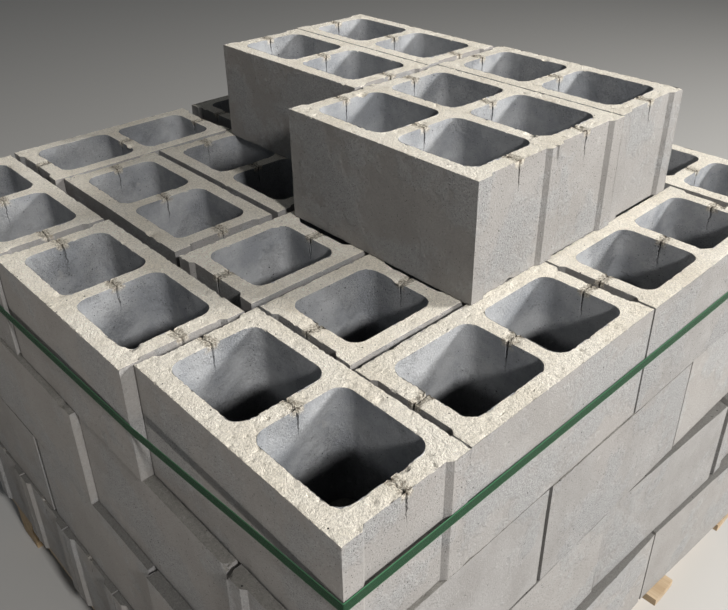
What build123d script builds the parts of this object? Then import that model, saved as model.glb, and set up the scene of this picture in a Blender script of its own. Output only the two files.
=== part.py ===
from build123d import *
import math
import os

# Pallet of two-cell hollow concrete blocks: four full courses, one double block and three single ones
# loose on top, and one plastic strap pulled round the top full course, on a plain wooden pallet.
# Millimetres, +Z up. The origin is on the ground under the middle of the whole load. The load is laid
# out from its right front corner, and places are measured to the left and to the back of it.

# One concrete block.
block_length = 390.0
block_width = 190.0
block_height = 190.0
face_shell = 29.0  # long walls beside the cells, at the top face
middle_web = 28.0  # wall between the two cells, at the top face
end_web = 34.0  # from the end plane to the cell, at the top face
cell_draft = 1.2  # degrees, the cells widen downwards so that the mould's cores pull out
cell_corner = 28.0  # corner radius of a cell at the top face
recess_depth = 6.0  # shallow recess down each end face
recess_margin = 28.0  # flat strip left on each side of the recess
recess_slope = 7.5  # how far in its sloped sides reach
top_cell_flats = 2  # flats round a cell corner in the top course, which the eye takes for a curve
buried_cell_flats = 1  # flats round a cell corner in the courses below it, where no cell shows

# The loose blocks on the top course: a right rank of the double block and a single one behind it, and a
# left rank of two single ones.
right_rank_sides = (182.0, 186.0)  # each block's distance from the load's right side
right_rank_setback = 402.0  # double block, behind the load's front
left_rank_setback = 548.0  # first block of the left rank, behind the load's front
rank_gaps = (1.0, 7.0)  # from the right rank to each block of the left one
loose_gap = 1.0  # from each block of a rank to the next
bed_gap = 0.3  # rough faces keep one course this far off the next

# The strap.
strap_width = 16.0
strap_thickness = 1.0
strap_clearance = 0.4  # off the blocks that it is pulled against
strap_below_top = 87.0  # its middle, under the top of the top course, at the right front corner
droop_to_left = 1.2  # degrees, it runs down from there to the left side
droop_to_back = 0.5  # degrees

# The wooden pallet.
board_width = 70.0
board_thickness = 20.0
board_count = 5
right_overhang = 30.0  # boards past the right side of the bottom course
left_overhang = 15.0
front_inset = 8.0  # first board in from the front of the bottom course
back_inset = 30.0
bearer_width = 75.0
bearer_height = 78.0
bearer_count = 3
bearer_inset = 56.0  # outer bearers in from the ends of the boards
seat_gap = 0.3  # boards on bearers


def cell_outline(length, width, corner_flats):
    """A cell seen from above. Its corners are arcs, or that many flats drawn round each arc."""
    if not corner_flats:
        return RectangleRounded(length, width, cell_corner)
    step = math.pi / 2.0 / (corner_flats + 1)
    reach = cell_corner / math.cos(step / 2.0)
    points = []
    for number in range(4 * (corner_flats + 1)):
        across = math.cos((number + 0.5) * step)
        along = math.sin((number + 0.5) * step)
        points.append((
            math.copysign(length / 2.0 - cell_corner, across) + reach * across,
            math.copysign(width / 2.0 - cell_corner, along) + reach * along,
        ))
    return Polygon(*points, align=None)


def cell_cores(corner_flats):
    """What the two cores of the mould leave: cells that are wider at the bottom."""
    length = (block_length - 2.0 * end_web - middle_web) / 2.0
    width = block_width - 2.0 * face_shell
    top_face = Plane.XY.offset(block_height)
    core = extrude(top_face * cell_outline(length, width, corner_flats), amount=-block_height)
    walls = core.faces().filter_by(lambda face: abs(face.normal_at().Z) < 0.5)
    core = draft(walls, neutral_plane=top_face, angle=cell_draft)
    from_middle = (length + middle_web) / 2.0
    return [Pos(side * from_middle, 0, 0) * core for side in (1, -1)]


def end_recess(side):
    """The shallow hollow down one end face, with sloped sides."""
    end = side * block_length / 2.0
    floor = side * (block_length / 2.0 - recess_depth)
    mouth_half = block_width / 2.0 - recess_margin
    floor_half = mouth_half - recess_slope
    outline = Polygon(
        (end, mouth_half), (floor, floor_half), (floor, -floor_half), (end, -mouth_half), align=None
    )
    return extrude(outline, amount=block_height, dir=(0, 0, 1))


def hollow_block(corner_flats=0, pairs=1):
    """A block that lies along X, with its right front bottom corner at the origin.

    A double block has two pairs of cells, with a single wall between one pair and the next.
    """
    pitch = block_width - face_shell
    width = block_width + (pairs - 1) * pitch
    block = Box(block_length, width, block_height, align=(Align.CENTER, Align.MIN, Align.MIN))
    for number in range(pairs):
        middle = Pos(0, block_width / 2.0 + number * pitch, 0)
        block -= [middle * core for core in cell_cores(corner_flats)]
        block -= [middle * end_recess(side) for side in (1, -1)]
    return Pos(-block_length / 2.0, 0, 0) * block


def footprint(lies):
    """Size of a block to the left and to the back."""
    if lies == "across":
        return block_length, block_width
    return block_width, block_length


def set_down(block, left, back, level, lies, turn=0.0):
    """Put a block's right front bottom corner at a place, turned clockwise about that corner."""
    if lies == "back":
        block = Pos(-block_width, 0, 0) * Rot(0, 0, -90) * block
    return Pos(-left, back, level) * Rot(0, 0, -turn) * block


# A bond says where each block goes, in half-block steps to the left and to the back, and whether it
# lies across the load or front to back. Right and front neighbours always come first.
rows_bond = [
    (0, 0, "across"), (2, 0, "across"), (4, 0, "across"),
    (0, 1, "back"), (1, 1, "back"), (2, 1, "back"),
    (3, 1, "across"), (3, 2, "across"), (5, 1, "back"),
    (0, 3, "back"), (1, 3, "across"), (1, 4, "across"),
    (3, 3, "back"), (4, 3, "back"), (5, 3, "back"),
    (0, 5, "across"), (2, 5, "across"), (4, 5, "across"),
]
other_way = {"across": "back", "back": "across"}
columns_bond = [(row, column, other_way[lies]) for column, row, lies in rows_bond]
headers_bond = [(column, row, "back") for row in (0, 2, 4) for column in range(6)]


def lay_course(bond, side_gaps, front_gaps, turns, level, block):
    """Set the blocks of one course down in turn, each its own gap away from those before it.

    Gaps of the first blocks of a rank are measured from the load's right and front lines.
    """
    laid = []
    blocks = []
    for (column, row, lies), side_gap, front_gap in zip(bond, side_gaps, front_gaps):
        wide, deep = footprint(lies)
        turn = turns.get((column, row), 0.0)
        rows = {row, row + 1} if lies == "back" else {row}
        right_of_it = [other["left"] for other in laid if other["column"] < column and other["rows"] & rows]
        left = max(right_of_it, default=0.0) + side_gap
        in_front = [
            other["back"] for other in laid
            if other["row"] < row and other["right"] < left + wide and other["left"] > left
        ]
        back = max(in_front, default=0.0) + front_gap
        angle = math.radians(turn)
        laid.append({
            "column": column,
            "row": row,
            "rows": rows,
            "right": left,
            "left": left + wide,
            "back": back + deep * math.cos(angle) + wide * math.sin(angle),
        })
        blocks.append(set_down(block, left, back, level, lies, turn))
    return blocks


def loose_ranks(level, block, double):
    """The last blocks of the load: the double one, one behind it, and two beside them."""
    double_side, single_side = right_rank_sides
    doubles = [set_down(double, double_side, right_rank_setback, level, "across")]
    back = right_rank_setback + double.bounding_box().size.Y + loose_gap
    singles = [set_down(block, single_side, back, level, "across")]
    back = left_rank_setback
    for gap in rank_gaps:
        side = max(right_rank_sides) + block_length + gap
        singles.append(set_down(block, side, back, level, "across"))
        back += block_width + loose_gap
    return doubles, singles


def strap_ring(blocks, top):
    """The band pulled round the outline of a course, straight across the hollows in that line."""
    edges = []
    for block in blocks:
        box = block.bounding_box()
        rectangle = Rectangle(box.size.X, box.size.Y)
        edges += (Pos(box.center().X, box.center().Y) * rectangle).edges()
    outline = make_hull(edges)
    inner = offset(outline, strap_clearance, kind=Kind.INTERSECTION)
    outer = offset(outline, strap_clearance + strap_thickness, kind=Kind.INTERSECTION)
    middle = top - strap_below_top
    tube = extrude(Pos(0, 0, middle - block_height / 2.0) * (outer - inner), amount=block_height)
    wide_enough = 4.0 * max(outline.bounding_box().size)
    slab = Box(wide_enough, wide_enough, strap_width)
    return tube & (Pos(0, 0, middle) * Rot(-droop_to_back, -droop_to_left, 0) * slab)


def pallet(load):
    """Boards across the load, nailed down on bearers that run front to back."""
    from_right = (Align.MAX, Align.MIN, Align.MIN)
    right = load.max.X + right_overhang
    length = load.size.X + right_overhang + left_overhang
    front = load.min.Y + front_inset
    depth = load.size.Y - front_inset - back_inset
    pitch = (depth - board_width) / (board_count - 1)
    boards = [
        Pos(right, front + number * pitch, bearer_height + seat_gap)
        * Box(length, board_width, board_thickness, align=from_right)
        for number in range(board_count)
    ]
    spacing = (length - 2.0 * bearer_inset - bearer_width) / (bearer_count - 1)
    bearers = [
        Pos(right - bearer_inset - number * spacing, front, 0)
        * Box(bearer_width, depth, bearer_height, align=from_right)
        for number in range(bearer_count)
    ]
    return boards, bearers


loose_block = hollow_block()
four_cell_block = hollow_block(pairs=2)
top_block = hollow_block(top_cell_flats)
buried_block = hollow_block(buried_cell_flats)
rise = block_height + bed_gap
first_level = bearer_height + seat_gap + board_thickness + bed_gap

bottom_course = lay_course(
    headers_bond,
    side_gaps=[-6, 3, 3, 3, 3, 3, -13, 10, 3, 3, 3, 3, -13, 10, 3, 3, 3, 3],
    front_gaps=[-38, -38, -38, -38, -38, -38, 5, 5, 5, 5, 5, 5, 5, 5, 5, 5, 5, 5],
    turns={(0, 4): 3.8},
    level=first_level,
    block=buried_block,
)
second_course = lay_course(
    rows_bond,
    side_gaps=[18, 9, 13, 0, 13, 11, 12, 12, 22, 3, 11, 11, 12, 12, 21, -18, 20, 24],
    front_gaps=[-35, -27, -28, 10, 10, 5, 6, 7, 5, 7, 5, 7, 7, 7, 4, 7, 15, 14],
    turns={(0, 3): 2.9},
    level=first_level + rise,
    block=buried_block,
)
third_course = lay_course(
    columns_bond,
    side_gaps=[1, 0, 1, 8, 7, 7, 7, 7, 7, 3, 6, 6, 7, 7, 3, 3, 3, 2],
    front_gaps=[-22, 7, 6, -16, 6, 6, 7, 7, 8, -28, 14, 14, 7, 7, 12, -22, 10, 6],
    turns={},
    level=first_level + 2.0 * rise,
    block=buried_block,
)
top_course = lay_course(
    rows_bond,
    side_gaps=[0, 3, 7, 1, 9, 11, 15, 14, 2, 0, 12, 13, 10, 8, 12, 4, 4, 8],
    front_gaps=[0, -19, -24, 1, 3, 17, 19, 11, 9, 3, 5, 4, 6, 6, 26, 6, 3, 2],
    turns={},
    level=first_level + 3.0 * rise,
    block=top_block,
)
double_block, loose_blocks = loose_ranks(first_level + 4.0 * rise, loose_block, four_cell_block)
strap = strap_ring(top_course, first_level + 3.0 * rise + block_height)

# The pallet is set out under the part of the bottom course that stands square on it.
square_rows = Compound(bottom_course[:6] + bottom_course[13:]).bounding_box()
deck_boards, bearers = pallet(square_rows)

nodes = {
    "bearers": bearers,
    "deck_boards": deck_boards,
    "bottom_course": bottom_course,
    "second_course": second_course,
    "third_course": third_course,
    "top_course": top_course,
    "double_block": double_block,
    "loose_blocks": loose_blocks,
    "strap": [strap],
}
whole = Compound([piece for pieces in nodes.values() for piece in pieces]).bounding_box()
to_origin = Pos(-whole.center().X, -whole.center().Y, -whole.min.Z)

os.makedirs("parts", exist_ok=True)
for name, pieces in nodes.items():
    export_step(Compound([to_origin * piece for piece in pieces]), f"parts/{name}.step")
print("origin", to_origin.position, "size", whole.size)
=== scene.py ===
import math

import bmesh
import bpy
import numpy as np
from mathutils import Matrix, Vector
from mathutils.geometry import box_fit_2d, convex_hull_2d, delaunay_2d_cdt


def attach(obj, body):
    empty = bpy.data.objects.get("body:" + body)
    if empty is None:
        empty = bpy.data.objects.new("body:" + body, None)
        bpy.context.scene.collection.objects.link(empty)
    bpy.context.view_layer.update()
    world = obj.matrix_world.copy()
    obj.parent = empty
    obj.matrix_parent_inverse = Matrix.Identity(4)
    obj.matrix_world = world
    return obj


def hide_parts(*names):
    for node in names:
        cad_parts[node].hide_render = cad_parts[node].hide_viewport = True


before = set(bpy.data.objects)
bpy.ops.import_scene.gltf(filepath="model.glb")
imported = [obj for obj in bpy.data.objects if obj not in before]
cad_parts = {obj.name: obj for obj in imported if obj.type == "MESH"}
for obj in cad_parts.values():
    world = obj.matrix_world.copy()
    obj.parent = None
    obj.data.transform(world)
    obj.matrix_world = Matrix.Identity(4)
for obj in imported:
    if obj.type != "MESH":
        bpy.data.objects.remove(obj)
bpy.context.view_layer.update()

# The set: a pale floor under a plain soft studio light. Its two boxes stand low behind the right side
# and to the right, as the light falls on the real load, and a bright board lies in front. The camera is
# at the height of a standing person, looking down on the load's right front corner.
bpy.context.scene.view_settings.view_transform = "Standard"

photo_width = 728.0  # pixels
photo_height = 610.0
focal_pixels = 790.74
principal_point = (382.37, 253.96)  # pixel of the photograph that the lens points at
camera_place = (0.9779, -0.8952, 1.4648)
camera_direction = (-0.6242, 0.6062, -0.4928)

camera_data = bpy.data.cameras.new("camera")
camera = bpy.data.objects.new("camera", camera_data)
bpy.context.scene.collection.objects.link(camera)
bpy.context.scene.camera = camera
camera_data.sensor_width = 36.0
camera_data.lens = focal_pixels * camera_data.sensor_width / photo_width
camera_data.shift_x = 0.5 - principal_point[0] / photo_width
camera_data.shift_y = (principal_point[1] - photo_height / 2.0) / photo_width
camera_data.clip_start = 0.05
camera_data.clip_end = 60.0
camera.location = camera_place
camera.rotation_mode = "QUATERNION"
camera.rotation_quaternion = Vector(camera_direction).to_track_quat("-Z", "Y")

load_middle = Vector((0.0, 0.0, 0.75))
lamp_distance = 5.6


def flat_lamp(name, width, depth, energy, tint):
    """A flat lamp that isn't placed yet."""
    lamp = bpy.data.lights.new(name, "AREA")
    lamp.shape = "RECTANGLE"
    lamp.size = width
    lamp.size_y = depth
    lamp.energy = energy
    lamp.color = tint
    made = bpy.data.objects.new(name, lamp)
    bpy.context.scene.collection.objects.link(made)
    return made


def soft_box(name, towards, size, level, tint):
    """A soft box that faces the load from a direction. Level is what a white sheet facing it gets."""
    box = flat_lamp(name, size, size, level * (math.pi * lamp_distance) ** 2, tint)
    box.location = load_middle + Vector(towards).normalized() * lamp_distance
    box.rotation_mode = "QUATERNION"
    box.rotation_quaternion = Vector(towards).to_track_quat("Z", "Y")


soft_box("back_right_box", (0.68, 0.60, 0.42), size=1.0, level=1.3, tint=(1.0, 0.985, 0.96))
soft_box("right_box", (0.86, -0.19, 0.58), size=0.5, level=0.70, tint=(1.0, 0.985, 0.97))

# the bright board lies face up in front, and sends its light at the front side
front_board = flat_lamp("front_board", width=3.2, depth=0.20, energy=22.0, tint=(1.0, 0.93, 0.86))
front_board.location = (0.1, -2.25, 0.02)
front_board.rotation_euler = (math.pi, 0.0, 0.0)
front_board.visible_camera = False

world = bpy.data.worlds.new("studio")
bpy.context.scene.world = world
world.use_nodes = True
world_background = world.node_tree.nodes["Background"]
world_background.inputs["Color"].default_value = (0.90, 0.95, 1.0, 1.0)
world_background.inputs["Strength"].default_value = 0.095

floor_reach = 9.0
floor_mesh = bpy.data.meshes.new("floor")
floor_mesh.from_pydata(
    [(x * floor_reach, y * floor_reach, 0.0) for x, y in ((-1, -1), (1, -1), (1, 1), (-1, 1))],
    [], [(0, 1, 2, 3)],
)
floor = bpy.data.objects.new("floor", floor_mesh)
bpy.context.scene.collection.objects.link(floor)
floor_finish = bpy.data.materials.new("pale_floor")
floor_finish.use_nodes = True
floor_shader = floor_finish.node_tree.nodes["Principled BSDF"]
floor_shader.inputs["Base Color"].default_value = (0.46, 0.45, 0.43, 1.0)
floor_shader.inputs["Roughness"].default_value = 0.85
floor_mesh.materials.append(floor_finish)


# The pallet's bearers: three lengths of rough-sawn softwood, lying front to back on the ground. They
# come off the saw with square, slightly furred edges, and grey with dust.
corner_primes = (73856093, 19349663, 83492791)  # these mix the three numbers of a corner of the grain
first_stir, second_stir = 2654435761, 2246822519
low_half = 0xFFFFFFFF  # the part of a mixed number that is kept
sharp_angle = math.radians(34.0)  # an edge that turns more than this has no smooth shading
saw_mark = 0.006  # the width of the saw's marks
saw_depth = 0.0006
saw_squeeze = (0.12, 1.0, 1.0)  # draws the marks out from left to right
edge_patch = 0.03  # the length over which a worn edge changes
timber_dust = (0.30, 0.275, 0.235)
timber_brown = (0.36, 0.27, 0.17)


def grain(points, size, seed):
    """Smooth random values from -1 to 1 that change over about the given distance."""
    spot = points / size + 37.0 * seed
    corner = np.floor(spot)
    part = spot - corner
    part = part * part * (3.0 - 2.0 * part)
    corner = corner.astype(np.int64)
    total = np.zeros(len(points))
    for step in np.ndindex(2, 2, 2):
        mixed = np.bitwise_xor.reduce((corner + np.array(step)) * np.array(corner_primes), axis=1)
        mixed = (mixed * first_stir) & low_half
        mixed = ((mixed ^ (mixed >> 15)) * second_stir) & low_half
        value = ((mixed >> 8) & 0xFFFF) / 32767.5 - 1.0
        total += value * np.prod(np.where(np.array(step) == 1, part, 1.0 - part), axis=1)
    return total


def solids_of(node):
    """The points of each closed solid of one node of the frame."""
    shape = bmesh.new()
    shape.from_mesh(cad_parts[node].data)
    bmesh.ops.remove_doubles(shape, verts=shape.verts, dist=1e-6)
    shape.verts.ensure_lookup_table()
    seen = set()
    solids = []
    for first in shape.verts:
        if first.index in seen:
            continue
        seen.add(first.index)
        group = [first]
        for vertex in group:
            for edge in vertex.link_edges:
                other = edge.other_vert(vertex)
                if other.index not in seen:
                    seen.add(other.index)
                    group.append(other)
        solids.append(np.array([vertex.co[:] for vertex in group]))
    shape.free()
    return solids


def join_pieces(name, parts, attributes):
    """One object of several meshes, each given as points, triangles and values for its vertices."""
    mesh = bpy.data.meshes.new(name)
    points = np.concatenate([part["points"] for part in parts])
    starts = np.cumsum([0] + [len(part["points"]) for part in parts[:-1]])
    triangles = np.concatenate([part["triangles"] + start for part, start in zip(parts, starts)])
    mesh.vertices.add(len(points))
    mesh.vertices.foreach_set("co", points.ravel())
    mesh.loops.add(len(triangles) * 3)
    mesh.loops.foreach_set("vertex_index", triangles.ravel().astype(np.int32))
    mesh.polygons.add(len(triangles))
    mesh.polygons.foreach_set("loop_start", np.arange(0, len(triangles) * 3, 3, dtype=np.int32))
    mesh.polygons.foreach_set("use_smooth", np.ones(len(triangles), dtype=bool))
    for attribute, kind, key in attributes:
        values = np.concatenate([part[attribute] for part in parts])
        mesh.attributes.new(attribute, kind, "POINT").data.foreach_set(key, values.ravel())
    mesh.update()
    mesh.validate()
    mesh.set_sharp_from_angle(angle=sharp_angle)
    piece = bpy.data.objects.new(name, mesh)
    bpy.context.scene.collection.objects.link(piece)
    return piece


def positions_of(mesh):
    """A mesh's vertices as an array of places."""
    flat = np.empty(len(mesh.vertices) * 3)
    mesh.vertices.foreach_get("co", flat)
    return flat.reshape(-1, 3)


def triangles_of(mesh):
    """A mesh's triangles as an array of vertex numbers."""
    mesh.calc_loop_triangles()
    flat = np.empty(len(mesh.loop_triangles) * 3, dtype=np.int32)
    mesh.loop_triangles.foreach_get("vertices", flat)
    return flat.reshape(-1, 3)


def sawn_timber(node, spacing, edge_wear, seed):
    """A node's solids as timber off the saw: furred edges, and faces that aren't quite flat."""
    parts = []
    for number, points in enumerate(solids_of(node)):
        low, high = points.min(axis=0), points.max(axis=0)
        middle, half = (low + high) / 2.0, (high - low) / 2.0
        shape = bmesh.new()
        bmesh.ops.create_cube(shape, size=2.0)
        bmesh.ops.scale(shape, vec=half, verts=shape.verts)
        for axis in range(3):
            direction = Vector(np.eye(3)[axis])
            count = max(2, int(round(2.0 * half[axis] / spacing[axis])))
            for cut in range(1, count):
                bmesh.ops.bisect_plane(
                    shape, geom=shape.verts[:] + shape.edges[:] + shape.faces[:],
                    plane_co=direction * (-half[axis] + 2.0 * half[axis] * cut / count), plane_no=direction,
                )
        mesh = bpy.data.meshes.new("board")
        shape.to_mesh(mesh)
        shape.free()

        # round the edges off unevenly, then let the saw's marks bite into the faces
        local = positions_of(mesh)
        worn = (edge_wear * (0.6 + 0.5 * grain(local, edge_patch, seed + number)))[:, None]
        inner = np.clip(local, worn - half, half - worn)
        outward = local - inner
        outward /= np.maximum(np.linalg.norm(outward, axis=1), 1e-9)[:, None]
        local = inner + outward * worn
        marks = 1.0 + grain(local * saw_squeeze, saw_mark, seed + number)
        local -= outward * (saw_depth * marks)[:, None]
        parts.append({
            "points": local + middle,
            "triangles": triangles_of(mesh),
            "tone": np.full(len(local), (number * 0.37 + seed * 0.11) % 1.0),
        })
        bpy.data.meshes.remove(mesh)
    return parts


class Shader:
    """Short words for wiring up one material's nodes. A colour is three shares of red, green and blue."""

    def __init__(self, name):
        self.material = bpy.data.materials.new(name)
        self.material.use_nodes = True
        self.tree = self.material.node_tree
        self.surface = self.tree.nodes["Principled BSDF"]
        self.coordinates = self.node("ShaderNodeTexCoord").outputs["Object"]

    def node(self, kind, inputs=(), **settings):
        made = self.tree.nodes.new(kind)
        for name, value in settings.items():
            setattr(made, name, value)
        for name, value in dict(inputs).items():
            self.feed(made.inputs[name], value)
        return made

    def feed(self, socket, value):
        if isinstance(value, bpy.types.NodeSocket):
            self.tree.links.new(value, socket)
        else:
            socket.default_value = value

    def math(self, operation, *values):
        made = self.node("ShaderNodeMath", operation=operation)
        for socket, value in zip(made.inputs, values):
            self.feed(socket, value)
        return made.outputs[0]

    def times(self, first, *others):
        """All the values multiplied together."""
        for other in others:
            first = self.math("MULTIPLY", first, other)
        return first

    def plus(self, first, *others):
        """All the values added up."""
        for other in others:
            first = self.math("ADD", first, other)
        return first

    def swing(self, value, middle, reach):
        """How far the value is from a middle one, stretched by the reach."""
        return self.times(self.math("SUBTRACT", value, middle), reach)

    def ramp(self, value, low, high, start=0.0, end=1.0):
        """Smoothly from start to end while the value goes from low to high."""
        made = self.node("ShaderNodeMapRange", interpolation_type="SMOOTHSTEP")
        for name, given in (("Value", value), ("From Min", low), ("From Max", high),
                            ("To Min", start), ("To Max", end)):
            self.feed(made.inputs[name], given)
        return made.outputs[0]

    def noise(self, scale, detail, rough=0.6, at=None):
        made = self.node("ShaderNodeTexNoise", {
            "Vector": at or self.coordinates, "Scale": scale, "Detail": detail, "Roughness": rough,
        })
        return made.outputs["Fac"]

    def mix(self, share, first, second, blend="MIX"):
        made = self.node("ShaderNodeMix", data_type="RGBA", blend_type=blend)
        self.feed(made.inputs[0], share)
        for number, given in ((6, first), (7, second)):
            self.feed(made.inputs[number], (*given, 1.0) if isinstance(given, tuple) else given)
        return made.outputs[2]

    def value(self, name):
        return self.node("ShaderNodeAttribute", attribute_name=name).outputs["Fac"]

    def vector(self, name):
        return self.node("ShaderNodeAttribute", attribute_name=name).outputs["Vector"]

    def split(self, vector):
        """The three numbers of a vector."""
        made = self.node("ShaderNodeSeparateXYZ", {"Vector": vector})
        return [made.outputs[number] for number in range(3)]

    def grey(self, value):
        """A grey as light as the value."""
        return self.node("ShaderNodeCombineXYZ", {"X": value, "Y": value, "Z": value}).outputs[0]

    def stretch(self, factors):
        made = self.node("ShaderNodeMapping", {"Vector": self.coordinates})
        made.inputs["Scale"].default_value = factors
        return made.outputs["Vector"]

    def relief(self, height, distance, strength, over=None):
        made = self.node("ShaderNodeBump", {"Height": height, "Distance": distance, "Strength": strength})
        if over is not None:
            self.feed(made.inputs["Normal"], over)
        return made.outputs["Normal"]

    def finish(self, colour, roughness, normal):
        self.feed(self.surface.inputs["Base Color"], colour)
        self.surface.inputs["Roughness"].default_value = roughness
        self.feed(self.surface.inputs["Normal"], normal)
        return self.material


def timber_finish(name, pale, dark, squeeze):
    """Dusty softwood, with growth rings drawn out along the board. Squeeze is less along its length."""
    wood = Shader(name)
    lines = wood.stretch(squeeze)
    rings = wood.noise(90.0, 4.0, 0.65, lines)
    fibres = wood.noise(520.0, 2.0, 0.5, lines)
    stain = wood.ramp(wood.noise(9.0, 3.0), 0.45, 0.75, 0.0, 0.45)
    colour = wood.mix(wood.ramp(rings, 0.35, 0.68), pale, dark)
    colour = wood.mix(stain, colour, timber_dust)
    colour = wood.mix(wood.times(wood.value("tone"), 0.35), colour, timber_brown)
    furred = wood.relief(fibres, 0.0008, 0.8)
    return wood.finish(colour, 0.82, wood.relief(rings, 0.0015, 0.6, furred))


sawn_bearers = sawn_timber("bearers", spacing=(0.02, 0.04, 0.02), edge_wear=0.004, seed=3)
bearers = join_pieces("bearers_sawn", sawn_bearers, [("tone", "FLOAT", "value")])
bearers.data.materials.append(timber_finish(
    "bearer_timber", pale=(0.47, 0.35, 0.21), dark=(0.33, 0.23, 0.13), squeeze=(1.0, 0.06, 1.0),
))
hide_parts("bearers")
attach(bearers, "root")


# The deck: five rough-sawn softwood boards that lie from left to right across the bearers, each nailed
# down where it crosses one. Their edges are furred as well, but a little less than the bearers'.
sawn_boards = sawn_timber("deck_boards", spacing=(0.04, 0.012, 0.01), edge_wear=0.003, seed=5)
deck = join_pieces("deck_boards_sawn", sawn_boards, [("tone", "FLOAT", "value")])
deck.data.materials.append(timber_finish(
    "board_timber", pale=(0.47, 0.36, 0.235), dark=(0.33, 0.235, 0.14), squeeze=(0.06, 1.0, 1.0),
))
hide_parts("deck_boards")
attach(deck, "root")


# The four full courses of concrete blocks: dry concrete pressed in a mould and struck off at the top,
# so their sides are close and grey, their tops open and pale, and their edges ragged. Their open tops are
# painted paler still as painted light, and the tops of the lower courses dark grey as painted shade. The
# bar that held the mould's cores leaves a torn patch across the top of every web, with a wedge-shaped crack
# below it.
block_length = 0.390
block_width = 0.190
block_height = 0.190
face_shell = 0.029
end_web = 0.034
cell_length = 0.150
cell_width = 0.136
cell_corner = 0.021
cell_middle = 0.0875  # from the block's middle to a cell's
cell_slope = math.tan(math.radians(1.2))
recess_depth = 0.006
recess_mouth = 0.067  # half its width at the end plane
recess_slope = 0.0075
end_web_middle = (block_length - end_web) / 2.0
web_middles = (-end_web_middle, 0.0, end_web_middle)
pair_pitch = block_width - face_shell  # from one pair of cells of a double block to the next
touching = 1e-5  # what is nearer than this to a face lies in it

# wear: each list of lumps gives the size, the height and the own seed of its grains
top_fall = 0.0009  # how far the struck-off top sinks below the mould's edge
top_lumps = ((0.011, 0.0003, 0), (0.0042, 0.00034, 1))
top_hollow_size = 0.0068
top_hollow_depth = 0.0045
side_give = 0.0006
side_lumps = ((0.018, 0.0002, 3), (0.08, 0.0005, 4))
edge_crumbs = ((0.014, 0.5, 5), (0.0052, 0.8, 6), (0.0027, 0.9, 13))
most_crumbled = 1.6
sharpest_edge = 0.0006
top_edge_wear = (0.0003, 0.0034)  # what wears off everywhere, and what crumbling adds
foot_edge_wear = 0.0012
sharpest_corner = 0.0009
corner_wear = 0.0020
corner_patch = 0.018  # the length over which a worn upright corner changes
web_reach = (0.03, 0.022)  # along and across the block, what a core bar's mark can touch
patch_sway = ((0.016, 0.0016, 8),)
patch_shift = 0.001
patch_halves = (0.008, 0.014)  # the narrowest and widest half of a torn patch
patch_depth = 0.0014
patch_rise = 0.0004  # the most that it stands above the rest of the top
patch_lumps = ((0.0052, 0.0022, 9), (0.011, 0.0012, 10))
notch_half = 0.0032  # the notch where a crack meets the top
notch_reach = 0.010
notch_depth = 0.0036
crack_lengths = (0.03, 0.045)
crack_halves = (0.0005, 0.0024)  # at its foot, and what the mouth adds
crack_depth = 0.0045
chips_on_a_pair = 16  # of cells, when the wear is 1
chips_on_rims = 0.75  # their share, and the rest is on the upright corners
smallest_chip = 0.003
chip_spread = 0.013
chip_lean = 0.4
chip_stand_off = (0.62, 0.85)  # from the edge to the middle of the ball that makes it, in sizes
knock_stand_off = 0.68
chip_lumps = ((0.006, 0.16, 0), (0.0028, 0.10, 0))


def pair_middle(across, pairs):
    """The middle line of the pair of cells that each point is nearest to."""
    return np.sign(across) * pair_pitch / 2.0 if pairs == 2 else np.zeros_like(across)


def wall_distance(points, pairs):
    """How deep in the concrete each point is from the nearest upright wall, and the way out through it."""
    x, y, z = points.T
    beside = y - pair_middle(y, pairs)
    half_width = (block_width + (pairs - 1) * pair_pitch) / 2.0
    recess = recess_depth * np.clip((recess_mouth - np.abs(beside)) / recess_slope, 0.0, 1.0)
    widening = (block_height - z) * cell_slope
    corner = cell_corner + widening
    over_x = np.abs(x) - cell_middle
    reach_x = np.abs(over_x) - (cell_length / 2.0 + widening - corner)
    reach_y = np.abs(beside) - (cell_width / 2.0 + widening - corner)
    outside_x, outside_y = np.maximum(reach_x, 0.0), np.maximum(reach_y, 0.0)
    outside = np.hypot(outside_x, outside_y)
    beyond = np.maximum(outside, 1e-9)
    way_x = np.where(outside > 0, outside_x / beyond, reach_x > reach_y)
    way_y = np.where(outside > 0, outside_y / beyond, reach_x <= reach_y)
    distances = np.array([
        half_width - np.abs(y),
        block_length / 2.0 - recess - np.abs(x),
        outside + np.minimum(np.maximum(reach_x, reach_y), 0.0) - corner,
    ])
    nearest = np.argmin(distances, axis=0)
    zero = np.zeros_like(x)
    out_x = np.choose(nearest, [zero, np.sign(x), -way_x * np.sign(over_x) * np.sign(x)])
    out_y = np.choose(nearest, [np.sign(y), zero, -way_y * np.sign(beside)])
    return distances.min(axis=0), np.stack([out_x, out_y], axis=1)


def run(start, end, spacing):
    """Points from start to just before end, evenly spaced."""
    start, end = np.array(start), np.array(end)
    count = max(1, math.ceil(np.linalg.norm(end - start) / spacing))
    return [start + (end - start) * step / count for step in range(count)]


def block_outline(pairs, spacing):
    """The outside of a block seen from above, anticlockwise, with the recess in each end."""
    half_length = block_length / 2.0
    half_width = (block_width + (pairs - 1) * pair_pitch) / 2.0
    recess_floor = recess_mouth - recess_slope
    recess = (
        (-recess_mouth, 0.0), (-recess_floor, recess_depth),
        (recess_floor, recess_depth), (recess_mouth, 0.0),
    )
    corners = [(half_length, -half_width)]
    for pair in range(pairs):
        middle = (pair - (pairs - 1) / 2.0) * pair_pitch
        corners += [(half_length - inset, middle + reach) for reach, inset in recess]
    corners.append((half_length, half_width))
    corners += [(-x, -y) for x, y in corners]
    loop = []
    for start, end in zip(corners, corners[1:] + corners[:1]):
        loop += run(start, end, spacing)
    return np.array(loop), np.zeros((len(loop), 2))


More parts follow.
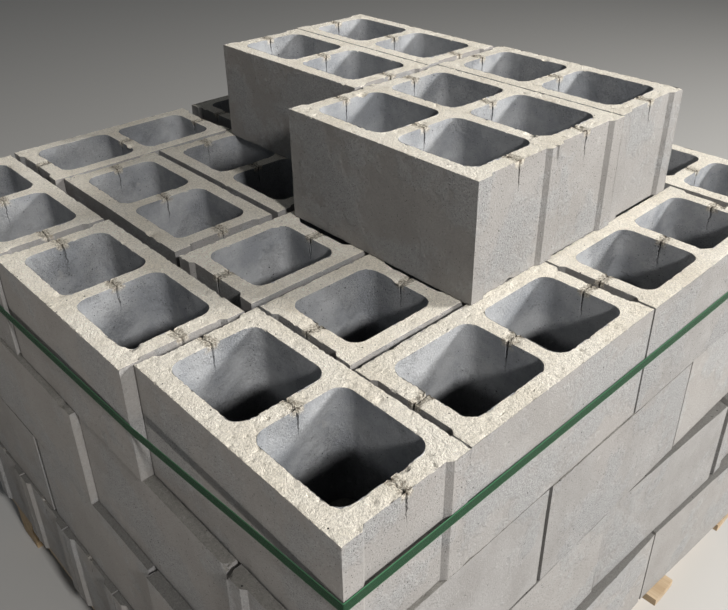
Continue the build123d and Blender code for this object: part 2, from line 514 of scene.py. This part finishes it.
def cell_rim(middle, spacing):
    """A cell's rim seen from above, clockwise, and the way into the concrete at each point."""
    straight = np.array([cell_length / 2.0 - cell_corner, cell_width / 2.0 - cell_corner])
    steps = math.ceil(cell_corner * math.pi / 2.0 / spacing)
    loop, ways = [], []
    signs = ((1, 1), (1, -1), (-1, -1), (-1, 1))
    for turn in range(4):
        for step in range(steps + 1):
            angle = math.pi / 2.0 * (1.0 - turn - step / steps)
            way = np.array([math.cos(angle), math.sin(angle)])
            loop.append(middle + straight * signs[turn] + cell_corner * way)
            ways.append(way)
        rest = run(loop[-1], middle + straight * signs[(turn + 1) % 4] + cell_corner * way, spacing)[1:]
        loop += rest
        ways += [way] * len(rest)
    return np.array(loop), np.array(ways)


def with_crack_points(loop, ways, pairs):
    """A loop with extra points where the core bar's crack runs down it."""
    crack_reach, crack_steps = 0.007, 4
    fuller, fuller_ways = [], []
    for place, way, after in zip(loop, ways, np.roll(loop, -1, axis=0)):
        middle = (place[1] + after[1]) / 2.0
        beside = abs(middle - float(pair_middle(np.array(middle), pairs)))
        across_web = beside < crack_reach and abs(place[0] - after[0]) < 1e-6
        pieces = crack_steps if across_web else 1
        for step in range(pieces):
            fuller.append(place + (after - place) * step / pieces)
            fuller_ways.append(way)
    return np.array(fuller), np.array(fuller_ways)


def cap(loops, level, extra, pairs):
    """Triangles over the flat concrete between the loops, by number in the loops and then the extras."""
    flat = [tuple(place) for loop in loops for place in loop] + [tuple(place) for place in extra]
    edges = []
    first = 0
    for loop in loops:
        edges += [(first + number, first + (number + 1) % len(loop)) for number in range(len(loop))]
        first += len(loop)
    merged_within = 1e-7
    flat = [Vector(place) for place in flat]
    made, _, faces, origins, _, _ = delaunay_2d_cdt(flat, edges, [], 0, merged_within)
    faces = np.array(faces)
    middles = np.array([place[:] for place in made])[faces].mean(axis=1)
    inside = np.concatenate([middles, np.full((len(middles), 1), level)], axis=1)
    number = np.array([origin[0] for origin in origins])
    return number[faces[wall_distance(inside, pairs)[0] > 0.0]]


def top_points(loops, spacing, pairs):
    """Inner points of the top: an uneven field, and lines that follow its edges a little way in."""
    close_line, far_line = 0.0013, 0.003
    insets = (close_line, far_line) if spacing < 0.006 else (far_line,)
    chance = np.random.default_rng(7)
    half_width = (block_width + (pairs - 1) * pair_pitch) / 2.0
    field = np.stack(np.meshgrid(
        np.arange(-block_length / 2.0, block_length / 2.0, spacing),
        np.arange(-half_width, half_width, spacing),
    ), axis=-1).reshape(-1, 2)
    field = field + chance.uniform(-0.35, 0.35, field.shape) * spacing
    high = np.concatenate([field, np.full((len(field), 1), block_height)], axis=1)
    extra = [field[wall_distance(high, pairs)[0] > far_line + 0.5 * spacing]]
    rim_points = np.concatenate(loops)
    high = np.concatenate([rim_points, np.full((len(rim_points), 1), block_height)], axis=1)
    inward = -wall_distance(high, pairs)[1]
    for inset in insets:
        extra.append(rim_points + inward * inset)
    return np.concatenate(extra)


def new_block(pairs, spacing, cell_spacing, rows):
    """A sharp new block as points and triangles. Rows are the depths below its top, in millimetres."""
    loops = [block_outline(pairs, spacing)]
    for pair in range(pairs):
        for side in (1, -1):
            middle = np.array([side * cell_middle, (pair - (pairs - 1) / 2.0) * pair_pitch])
            loops.append(cell_rim(middle, cell_spacing))
    loops = [with_crack_points(loop, ways, pairs) for loop, ways in loops]

    # rings of points down every wall
    points, triangles, rims, feet = [], [], [], []
    first = 0
    for loop, ways in loops:
        count = len(loop)
        for row in rows:
            below = row / 1000.0
            place = loop + ways * below * cell_slope
            points.append(np.column_stack([place, np.full(count, block_height - below)]))
        here = np.arange(count)
        after = (here + 1) % count
        for number in range(len(rows) - 1):
            upper = first + number * count
            lower = upper + count
            triangles.append(np.column_stack([upper + here, lower + here, lower + after]))
            triangles.append(np.column_stack([upper + here, lower + after, upper + after]))
        rims.append(first + here)
        feet.append(first + (len(rows) - 1) * count + here)
        first += count * len(rows)

    # the top and the foot
    extra = top_points([loop for loop, _ in loops], spacing, pairs)
    numbers = np.concatenate(rims + [np.arange(first, first + len(extra))])
    triangles.append(numbers[cap([loop for loop, _ in loops], block_height, extra, pairs)])
    points.append(np.column_stack([extra, np.full(len(extra), block_height)]))
    bottom = [loop + ways * block_height * cell_slope for loop, ways in loops]
    foot = np.concatenate(feet)[cap(bottom, 0.0, np.empty((0, 2)), pairs)]
    triangles.append(foot[:, ::-1])

    points = np.concatenate(points)
    depth, out = wall_distance(points, pairs)
    return {
        "pairs": pairs,
        "points": points,
        "triangles": np.concatenate(triangles),
        "depth": depth,
        "out": out,
        "beside": points[:, 1] - pair_middle(points[:, 1], pairs),
        "half": np.array([block_length, block_width + (pairs - 1) * pair_pitch]) / 2.0,
        "from_top": block_height - points[:, 2],
        "from_foot": points[:, 2],
        "on_wall": depth < touching,
        "on_top": block_height - points[:, 2] < touching,
    }


def layered(points, seed, lumps):
    """Several grains added up, each given as its size, its height and its own seed."""
    return sum(height * grain(points, size, seed + own) for size, height, own in lumps)


def rounded(first, second, radius):
    """Take two distances from a pair of faces to where a rounded edge between them has the point."""
    inner_first, inner_second = np.maximum(first, radius), np.maximum(second, radius)
    off_first, off_second = first - inner_first, second - inner_second
    length = np.maximum(np.hypot(off_first, off_second), 1e-9)
    shorten = np.where((first < radius) & (second < radius), radius / length, 1.0)
    return inner_first + off_first * shorten, inner_second + off_second * shorten


def strike_off(points, block, seed):
    """The open face of the top sinks unevenly, and the closer ones of the sides give a little."""
    new = block["points"]
    hollows = np.clip(grain(new, top_hollow_size, seed + 2) - 0.5, 0.0, 1.0) * top_hollow_depth
    points[:, 2] -= (top_fall + layered(new, seed, top_lumps) + hollows) * block["on_top"]
    give = side_give + layered(new, seed, side_lumps)
    points[:, :2] -= block["out"] * (give * block["on_wall"])[:, None]


def wear_edges(points, block, seed, wear):
    """The top's edges crumble, and the foot's edges and the upright corners wear round."""
    depth, out, new = block["depth"], block["out"], block["points"]
    edge = new.copy()
    edge[:, :2] += out * depth[:, None]
    crumble = np.clip(layered(edge, seed, edge_crumbs), 0.0, most_crumbled)
    top_wear = top_edge_wear[0] + top_edge_wear[1] * crumble ** 1.3
    for gap, down, radius in (
        (block["from_top"], -1.0, sharpest_edge + wear * top_wear),
        (block["from_foot"], 1.0, sharpest_edge + wear * foot_edge_wear * crumble),
    ):
        new_depth, new_gap = rounded(depth, gap, radius)
        points[:, :2] -= out * (new_depth - depth)[:, None]
        points[:, 2] += down * (new_gap - gap)

    gaps = block["half"] - np.abs(points[:, :2])
    upright = np.clip(grain(new, corner_patch, seed + 7), 0.0, 1.0)
    new_end, new_side = rounded(gaps[:, 0], gaps[:, 1], sharpest_corner + wear * corner_wear * upright)
    points[:, :2] -= np.sign(points[:, :2]) * (np.column_stack([new_end, new_side]) - gaps)


def mark_core_bar(points, block, seed, chance):
    """The torn patch that the core bar leaves over each web, and the crack that opens below it."""
    new, beside = block["points"], block["beside"]
    for middle in web_middles:
        near = (np.abs(new[:, 0] - middle) < web_reach[0]) & (np.abs(beside) < web_reach[1])
        near = np.flatnonzero(near)
        here, depth = new[near], block["depth"][near]
        across = beside[near] + layered(here, seed, patch_sway) + patch_shift * chance.uniform(-1, 1)
        patch = np.clip(1.0 - (across / chance.uniform(*patch_halves)) ** 2, 0.0, 1.0)
        torn = np.maximum(patch_depth + layered(here, seed, patch_lumps), -patch_rise)
        notch = np.clip(1.0 - np.abs(across) / notch_half, 0.0, 1.0)
        notch *= np.clip(1.0 - depth / notch_reach, 0.0, 1.0)
        points[near, 2] -= block["on_top"][near] * (patch * torn + notch_depth * notch)
        closing = np.clip(1.0 - block["from_top"][near] / chance.uniform(*crack_lengths), 0.0, 1.0)
        half = crack_halves[0] + crack_halves[1] * closing ** 2
        groove = np.clip(1.0 - np.abs(across) / half, 0.0, 1.0) * crack_depth * closing
        points[near, :2] -= block["out"][near] * (groove * block["on_wall"][near])[:, None]


def knock_off(points, centre, size, push, seed):
    """Press a rough ball into the concrete, so that what it reaches is gone."""
    offset = points - centre
    away = np.linalg.norm(offset, axis=1)
    hit = np.flatnonzero(away < size * 1.2)
    if len(hit) == 0:
        return
    reach = size * (1.0 + layered(points[hit], seed, chip_lumps))
    moved = centre + offset[hit] / np.maximum(away[hit], 1e-6)[:, None] * reach[:, None]
    inward = (moved - points[hit]) @ push < 0.0
    inward &= away[hit] < reach
    points[hit] = np.where(inward[:, None], moved, points[hit])


def knock_chips(points, block, seed, wear, knocks, chance):
    """Chips out of the edges, mostly those of the top and the foot, and the knocks that are given."""
    new = block["points"]
    rim = np.flatnonzero(block["on_wall"] & (block["on_top"] | (block["from_foot"] < touching)))
    for _ in range(int(chips_on_a_pair * wear * block["pairs"])):
        if chance.random() < chips_on_rims:
            start = new[chance.choice(rim)]
            push = np.array([0.0, 0.0, 1.0 if start[2] > block_height / 2.0 else -1.0])
        else:
            signs = chance.choice((-1, 1), 2)
            start = np.array([*(signs * block["half"]), chance.uniform(0.0, block_height)])
            push = np.array([*signs, 0.0]) / math.sqrt(2.0)
        size = smallest_chip + chip_spread * chance.random() ** 3
        push = push + chance.normal(0.0, chip_lean, 3)
        push /= np.linalg.norm(push)
        centre = start + push * size * chance.uniform(*chip_stand_off)
        knock_off(points, centre, size, push, seed + 11)
    for place, size in knocks:
        push = np.sign(place - np.array([0.0, 0.0, block_height / 2.0])) / math.sqrt(3.0)
        knock_off(points, place + push * size * knock_stand_off, size, push, seed + 12)


def weathered(block, seed, wear, knocks):
    """A new block's points after moulding, striking off and handling."""
    chance = np.random.default_rng(seed)
    points = block["points"].copy()
    strike_off(points, block, seed)
    wear_edges(points, block, seed, wear)
    mark_core_bar(points, block, seed, chance)
    knock_chips(points, block, seed, wear, knocks, chance)

    # nothing stands out past the mould's own faces
    points[:, :2] = np.clip(points[:, :2], -block["half"], block["half"])
    points[:, 2] = np.clip(points[:, 2], 0.0, block_height)
    return points


def stand_of(points):
    """A block's place: the middle of its foot, and the angle of its long side."""
    flat = [tuple(place) for place in points[:, :2]]
    angle = -box_fit_2d([flat[number] for number in convex_hull_2d(flat)])
    for turn in (0.0, math.pi / 2.0):
        c, s = math.cos(angle + turn), math.sin(angle + turn)
        local = points[:, :2] @ np.array([[c, -s], [s, c]])
        low, high = local.min(axis=0), local.max(axis=0)
        if high[0] - low[0] > high[1] - low[1]:
            break
    x, y = (low + high) / 2.0
    return np.array([x * c - y * s, x * s + y * c, points[:, 2].min()]), angle + turn


def laid_block(points, block, seed, wear, knocks):
    """One weathered block where the solid stands, for join_pieces."""
    chance = np.random.default_rng(seed)
    foot, angle = stand_of(points)
    if chance.random() < 0.5:
        angle += math.pi
    c, s = math.cos(angle), math.sin(angle)
    turn = np.array([[c, s, 0.0], [-s, c, 0.0], [0.0, 0.0, 1.0]])
    local_knocks = [((np.array(place) - foot) @ turn.T, size) for place, size in knocks]
    on_this = block["half"] + 0.005
    local_knocks = [(place, size) for place, size in local_knocks if np.all(np.abs(place[:2]) < on_this)]
    worn = weathered(block, seed, wear, local_knocks)
    return {
        "points": worn @ turn + foot,
        "triangles": block["triangles"],
        "place": np.column_stack([block["points"][:, 0], block["beside"], block["points"][:, 2]]),
        "tone": np.full(len(worn), chance.random()),
    }


side_greys = (0.272, 0.261, 0.250), (0.318, 0.308, 0.298)  # the darkest and the palest
side_buff = (0.302, 0.284, 0.264)
side_brown = (0.322, 0.296, 0.276)
open_face_grey = (0.385, 0.383, 0.380)
cell_greys = (0.265, 0.276, 0.292), (0.420, 0.426, 0.434)
# the tops' creams are partly the struck-off face's own dusty colour and partly painted light from above
top_creams_and_painted_light = (0.850, 0.785, 0.665), (0.935, 0.880, 0.770)
top_dirt = (0.43, 0.36, 0.265)
# painted shade: the dark grey of the tops that the course above shades
painted_shade_top_grey = (0.172, 0.166, 0.155)
torn_browns = (0.26, 0.215, 0.16), (0.72, 0.67, 0.57)
scuff_grey = (0.52, 0.50, 0.47)
cell_foot = (0.0795, 0.0728)  # half a cell's length and width at its foot, and a little more


class ConcreteShader(Shader):
    """The blocks' finish. Each point knows its place on the block as that came out of the mould."""

    def __init__(self):
        super().__init__("concrete")
        along, self.beside, self.up = self.split(self.vector("place"))
        self.off_middle = self.math("ABSOLUTE", along)
        self.off_web = self.math("ABSOLUTE", self.beside)
        self.tone = self.value("tone")
        self.pale = self.value("pale")
        self.cloud = self.noise(13.0, 4.0, 0.6)
        self.fines = self.noise(1100.0, 2.0, 0.7)
        self.crumbs = self.noise(330.0, 3.0, 0.7)
        self.open_face = self.ramp(self.noise(7.5, 5.0, 0.65), 0.47, 0.60)
        self.top = self.struck_top()

    def struck_top(self):
        """1 on the open face of the top."""
        facing_up = self.split(self.node("ShaderNodeNewGeometry").outputs["Normal"])[2]
        uneven = self.swing(self.noise(210.0, 2.0), 0.5, 0.7)
        return self.ramp(self.plus(facing_up, uneven), 0.30, 0.75)

    def cell_walls(self):
        """1 on the walls of the cells."""
        off_cell = self.math("ABSOLUTE", self.math("SUBTRACT", self.off_middle, cell_middle))
        in_length = self.math("LESS_THAN", off_cell, cell_foot[0])
        return self.times(in_length, self.math("LESS_THAN", self.off_web, cell_foot[1]))

    def torn_patches(self):
        """1 where the core bar tore the top of a web, and less on blocks whose tops are covered."""
        ragged = self.swing(self.noise(120.0, 3.0, 0.7), 0.5, 0.022)
        patch = self.ramp(self.plus(self.off_web, ragged), 0.007, 0.0115, 1.0, 0.0)
        middle_web = self.math("LESS_THAN", self.off_middle, 0.02)
        end_webs = self.math("GREATER_THAN", self.off_middle, 0.158)
        near_top = self.ramp(self.up, 0.176, 0.186)
        in_sight = self.math("MAXIMUM", self.pale, 0.25)
        return self.times(patch, self.math("MAXIMUM", middle_web, end_webs), near_top, in_sight)

    def face_colours(self):
        """The colours of the sides, the cells, the tops and the torn patches, each where it belongs, with
        painted shade low in the cells and on the covered tops, and painted light on the open tops.
        """
        side = self.mix(self.ramp(self.cloud, 0.32, 0.68), *side_greys)
        side = self.mix(self.ramp(self.tone, 0.0, 1.0, 0.0, 0.55), side, side_buff)
        side = self.mix(self.ramp(self.noise(4.0, 2.0, 0.5), 0.5, 0.75, 0.0, 0.4), side, side_brown)
        side = self.mix(self.times(self.open_face, 0.75), side, open_face_grey)
        cell = self.mix(self.ramp(self.cloud, 0.3, 0.7), *cell_greys)
        # painted shade: from some 72 to 102 mm under the top downwards, the cell walls are darkened to about
        # a third, for the shadow deep in the cells
        deep = self.ramp(self.plus(self.up, self.times(self.cloud, 0.03)), 0.088, 0.118, 0.36, 1.0)
        cell = self.mix(1.0, cell, self.grey(deep), "MULTIPLY")
        # the open top's cream, partly its own colour and partly painted light
        top = self.mix(self.ramp(self.cloud, 0.3, 0.7), *top_creams_and_painted_light)
        dirt = self.ramp(self.noise(8.0, 4.0, 0.7), 0.60, 0.72)
        dirt = self.times(dirt, self.ramp(self.crumbs, 0.35, 0.6, 0.3, 1.0), 0.55)
        # where pale is low the top is painted dark grey instead of cream, as painted shade under the course
        # above
        top = self.mix(self.pale, painted_shade_top_grey, self.mix(dirt, top, top_dirt))
        torn = self.mix(self.ramp(self.crumbs, 0.35, 0.65), *torn_browns)
        colour = self.mix(self.cell_walls(), side, cell)
        colour = self.mix(self.top, colour, top)
        return self.mix(self.times(self.torn_patches(), 0.85), colour, torn)

    def spots(self, scale, number):
        """The distance to the nearest of many scattered spots, and one of that spot's random values."""
        made = self.node("ShaderNodeTexVoronoi", {
            "Vector": self.coordinates, "Scale": scale, "Randomness": 1.0,
        })
        return made.outputs["Distance"], self.split(made.outputs["Color"])[number]

    def pores(self):
        """1 between the fine pores, and less in them. There are more on an open face."""
        distance, chance = self.spots(330.0, 0)
        rare = self.math("SUBTRACT", 0.80, self.times(self.open_face, 0.56))
        pores = self.ramp(self.plus(distance, self.times(chance, rare)), 0.16, 0.34, 0.32, 1.0)
        return self.math("MAXIMUM", pores, self.times(self.top, 0.88))

    def pits(self):
        """1 between the wider pits, and 0 in them."""
        distance, chance = self.spots(130.0, 1)
        return self.ramp(self.plus(distance, chance), 0.12, 0.22, 0.0, 1.0)

    def hairlines(self):
        """More than 0 where a web's crack runs out in a fine line."""
        meander = self.swing(self.noise(70.0, 3.0), 0.5, 0.010)
        off_line = self.math("ABSOLUTE", self.plus(self.beside, meander))
        line = self.ramp(off_line, 0.0003, 0.0011, 1.0, 0.0)
        return self.times(line, self.ramp(self.up, 0.135, 0.165, 0.0, 0.8))

    def rough_grey(self):
        """All of it together: colour, the shade of what is rough, and its relief."""
        rough = self.plus(0.62, self.math("MAXIMUM", self.times(self.open_face, 0.85), self.top))
        pores, pits, crack = self.pores(), self.pits(), self.hairlines()
        level = self.plus(0.93, self.times(self.tone, 0.14))
        grit = self.plus(1.0, self.swing(self.fines, 0.52, self.times(rough, 0.75)))
        lumps = self.plus(1.0, self.swing(self.crumbs, 0.48, self.times(rough, 0.62)))
        pitted = self.times(self.math("SUBTRACT", 1.0, pits), self.times(rough, 0.62))
        pitted = self.math("SUBTRACT", 1.0, pitted)
        cracked = self.math("SUBTRACT", 1.0, self.times(crack, 0.8))
        shade = self.times(level, grit, lumps, pores, pitted, cracked)
        colour = self.mix(1.0, self.face_colours(), self.grey(shade), "MULTIPLY")
        scuffs = self.ramp(self.noise(34.0, 4.0, 0.75), 0.62, 0.74)
        scuffs = self.times(scuffs, self.ramp(self.fines, 0.3, 0.6), 0.45)
        colour = self.mix(scuffs, colour, scuff_grey)
        height = self.plus(
            self.times(self.crumbs, self.times(rough, 1.4)), self.times(self.fines, self.times(rough, 0.9)),
            self.times(pores, 0.6), self.times(pits, 0.9),
        )
        height = self.math("SUBTRACT", height, crack)
        self.surface.inputs["Specular IOR Level"].default_value = 0.2
        return self.finish(colour, 0.93, self.relief(height, 0.0015, 1.0))


concrete = ConcreteShader().rough_grey()
block_values = [("tone", "FLOAT", "value"), ("pale", "FLOAT", "value"), ("place", "FLOAT_VECTOR", "vector")]


def course(name, node, seed, block_for, wear, pale, knocks=()):
    """Weathered blocks in place of a node's solids. Pale is how much of the cream colour their struck-off
    tops keep; below 1 they are painted a dark grey as painted shade, where the course above shades them.
    """
    parts = []
    for number, points in enumerate(solids_of(node)):
        part = laid_block(points, block_for(points), seed * 1000 + number * 20, wear, knocks)
        part["pale"] = np.full(len(part["points"]), pale)
        parts.append(part)
    piece = join_pieces(name, parts, block_values)
    piece.data.materials.append(concrete)
    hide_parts(node)
    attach(piece, "root")


buried_rows = (0, 1.2, 3.5, 9, 22, 55, 110, 165, 187.5, 190)
far_rows = (0, 1.1, 3.2, 8, 22, 52, 100, 187, 190)
middle_rows = (0, 0.9, 2.4, 5.5, 13, 30, 60, 110, 187, 190)
near_rows = (0, 0.7, 1.6, 3, 5.5, 10, 18, 34, 62, 110, 187.5, 190)
buried_block = new_block(1, spacing=0.0065, cell_spacing=0.02, rows=buried_rows)
far_block = new_block(1, spacing=0.0072, cell_spacing=0.0075, rows=far_rows)
middle_block = new_block(1, spacing=0.0050, cell_spacing=0.0052, rows=middle_rows)
near_block = new_block(1, spacing=0.0029, cell_spacing=0.0033, rows=near_rows)
near_upright = np.array([0.585, -0.568])  # the load's right front corner
near_reach = 0.42
middle_reach = 0.75
broken_corner = (np.array([0.391, -0.588, 0.669]), 0.034)  # its place and the size of the knock


def top_course_block(points):
    """A finer mesh for the blocks about the load's right front corner, which are seen up close."""
    away = np.hypot(*(points[:, :2].mean(axis=0) - near_upright))
    return near_block if away < near_reach else middle_block if away < middle_reach else far_block


course("bottom_course_blocks", "bottom_course", 11, lambda points: buried_block, wear=0.5, pale=0.0)
course("second_course_blocks", "second_course", 12, lambda points: buried_block, wear=0.5, pale=0.0)
course(
    "third_course_blocks", "third_course", 13, lambda points: buried_block,
    wear=0.5, pale=0.1, knocks=[broken_corner],
)
course("top_course_blocks", "top_course", 14, top_course_block, wear=1.0, pale=1.0)


# The loose blocks on top: one double block, with two pairs of cells and a single wall between them, and
# three single ones, stood there by hand, so a little askew and more handled than the rest.
loose_rows = (0, 0.7, 1.6, 3, 5, 8, 12, 18, 26, 38, 56, 85, 120, 155, 182, 188, 190)
loose_block = new_block(1, spacing=0.0029, cell_spacing=0.0033, rows=loose_rows)
four_cell_block = new_block(2, spacing=0.0027, cell_spacing=0.0031, rows=loose_rows)
course("double_block_worn", "double_block", 16, lambda points: four_cell_block, wear=1.0, pale=1.0)
course("loose_blocks_worn", "loose_blocks", 15, lambda points: loose_block, wear=1.0, pale=1.0)


# The strap: green polyester band, embossed with a fine diamond, pulled round the top course and
# joined with friction heat, so it has no buckle. It runs straight from one proud block to the next.
band_width = 0.016
band_thickness = 0.0009
band_inset = 0.0001  # keeps its face inside the solid's
one_corner = 0.002  # corners of the solid that are closer than this are one
corner_ease = 0.0022  # from a corner to where the band starts to bend
point_spacing = 0.006
droop = (0.0005, 0.13)  # the height and length of its slow waves
ripple = (0.00012, 0.009)  # the same of the small ones in its face
diamond_pitch = 0.0024
plain_margin = (0.0066, 0.0072)  # from the middle line to where the embossing ends
strap_greens = (0.007, 0.036, 0.015), (0.014, 0.066, 0.027)
# painted highlight: the plain margins along both edges of the band are painted this paler green
strap_edge_highlight_green = (0.045, 0.140, 0.070)
strap_dust = (0.16, 0.17, 0.14)

# round the section of the band, as shares of its width and thickness: up the outer face, over the top
# edge and down the inner face
band_section = (
    (-0.5, -0.3), (-0.47, 0.0), (-0.35, 0.0), (-0.18, 0.0), (0.0, 0.0), (0.18, 0.0), (0.35, 0.0),
    (0.47, 0.0), (0.5, -0.3), (0.5, -0.7), (0.46, -1.0), (0.0, -1.0), (-0.46, -1.0), (-0.5, -0.7),
)


def strap_path(points):
    """The line of a strap seen from above, anticlockwise, with the corners it is pulled round eased."""
    corners = points[convex_hull_2d([tuple(place) for place in points[:, :2]])][:, :2]
    apart = np.linalg.norm(corners - np.roll(corners, 1, axis=0), axis=1)
    corners = corners[apart > one_corner]
    first, second = corners[1] - corners[0], corners[2] - corners[1]
    if first[0] * second[1] < first[1] * second[0]:
        corners = corners[::-1]
    line = []
    for before, here, after in zip(np.roll(corners, 1, axis=0), corners, np.roll(corners, -1, axis=0)):
        back = here + (before - here) / np.linalg.norm(before - here) * corner_ease
        ahead = (after - here) / np.linalg.norm(after - here) * corner_ease
        for part in np.linspace(0.0, 1.0, 6):
            line.append((1 - part) ** 2 * back + 2 * part * (1 - part) * here + part ** 2 * (here + ahead))
        line += run(here + ahead, after - ahead, point_spacing)[1:]
    return np.array(line)


def strap_mesh(solid):
    """The strap as a closed band with eased edges, for join_pieces."""
    line = strap_path(solid)
    plane = np.linalg.lstsq(np.column_stack([solid[:, :2], np.ones(len(solid))]), solid[:, 2], rcond=None)[0]
    along = np.roll(line, -1, axis=0) - np.roll(line, 1, axis=0)
    along /= np.linalg.norm(along, axis=1)[:, None]
    outward = np.column_stack([along[:, 1], -along[:, 0]])
    travel = np.concatenate([[0.0], np.cumsum(np.linalg.norm(np.diff(line, axis=0), axis=1))])
    still = np.zeros(len(line))
    middle = line @ plane[:2] + plane[2]
    middle += droop[0] * grain(np.column_stack([travel, still, still]), droop[1], 21)
    rings, places = [], []
    for up, out in band_section:
        height = still + up * band_width
        lift = ripple[0] * np.abs(grain(np.column_stack([travel, height, still]), ripple[1], 22))
        flat = line + outward * (out * band_thickness - band_inset - lift)[:, None]
        rings.append(np.column_stack([flat, middle + height]))
        places.append(np.column_stack([travel, height, still + out]))
    here = np.arange(len(line) * len(band_section)).reshape(len(line), len(band_section))
    after = np.roll(here, -1, axis=0)
    side, next_side = here.ravel(), np.roll(here, -1, axis=1).ravel()
    side_after, next_after = after.ravel(), np.roll(after, -1, axis=1).ravel()
    return {
        "points": np.stack(rings, axis=1).reshape(-1, 3),
        "triangles": np.concatenate([
            np.column_stack([side, side_after, next_after]), np.column_stack([side, next_after, next_side]),
        ]),
        "place": np.stack(places, axis=1).reshape(-1, 3),
    }


def strap_finish():
    """Green plastic with an embossed diamond, plain margins painted paler as a painted highlight along the
    band's edges, and a little dust.
    """
    plastic = Shader("strap_plastic")
    along, up, _ = plastic.split(plastic.vector("place"))
    turns = 2.0 * math.pi / diamond_pitch
    rising = plastic.math("SINE", plastic.times(plastic.plus(along, up), turns))
    falling = plastic.math("SINE", plastic.times(plastic.math("SUBTRACT", along, up), turns))
    diamond = plastic.times(rising, falling)
    margin = plastic.ramp(plastic.math("ABSOLUTE", up), *plain_margin)
    dust = plastic.ramp(plastic.noise(90.0, 4.0, 0.7), 0.45, 0.75, 0.0, 0.07)
    green = plastic.mix(plastic.ramp(diamond, -0.6, 0.8), *strap_greens)
    # the plain margins take the paler green, a painted highlight along the edges
    green = plastic.mix(dust, plastic.mix(margin, green, strap_edge_highlight_green), strap_dust)
    embossed = plastic.times(diamond, plastic.math("SUBTRACT", 1.0, margin))
    plastic.surface.inputs["Specular IOR Level"].default_value = 0.12
    return plastic.finish(green, 0.40, plastic.relief(embossed, 0.0004, 0.8))


strap = join_pieces("strap_band", [strap_mesh(solids_of("strap")[0])], [("place", "FLOAT_VECTOR", "vector")])
strap.data.materials.append(strap_finish())
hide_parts("strap")
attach(strap, "root")
